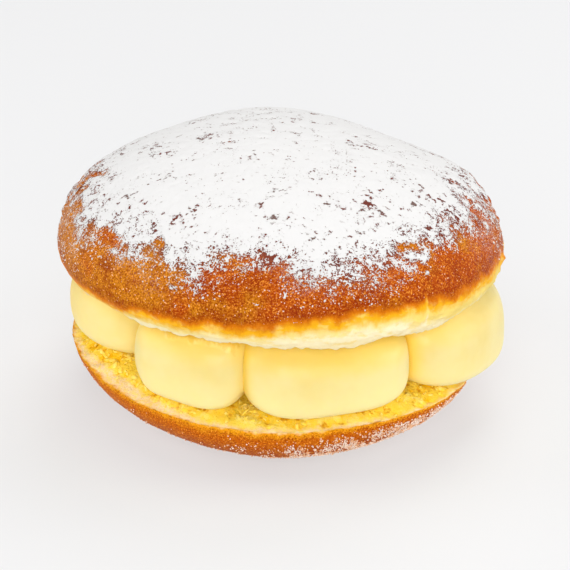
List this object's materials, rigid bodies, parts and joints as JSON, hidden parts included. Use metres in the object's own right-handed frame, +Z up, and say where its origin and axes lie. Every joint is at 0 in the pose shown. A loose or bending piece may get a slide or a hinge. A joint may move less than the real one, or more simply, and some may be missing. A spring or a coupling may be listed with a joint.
{
  "type": "berliner doughnut",
  "caption": "Round fried yeast doughnut cut through the middle, filled with a ring of piped custard dollops and dusted with powdered sugar on its domed crown.",
  "frame": {"origin": "middle of the bounding box's footprint, on the surface that the doughnut rests on", "axes": "+Z up through the crown, the open front with its largest dollop faces -Y, the right side +X"},
  "size_m": [0.0998, 0.1, 0.0604],
  "materials": {
    "base_dough": "matte golden crumb and browned crust",
    "crown_dough": "satin browned crust",
    "powdered_sugar": "matte white powder",
    "custard": "satin pale yellow cream"
  },
  "bodies": {
    "root": {"bottom_half": "base_dough", "top_half": "crown_dough", "powdered_sugar": "powdered_sugar", "custard_dollop_1": "custard", "custard_dollop_2": "custard", "custard_dollop_3": "custard", "custard_dollop_4": "custard", "custard_dollop_5": "custard", "custard_dollop_6": "custard", "custard_dollop_7": "custard"}
  },
  "joints": []
}
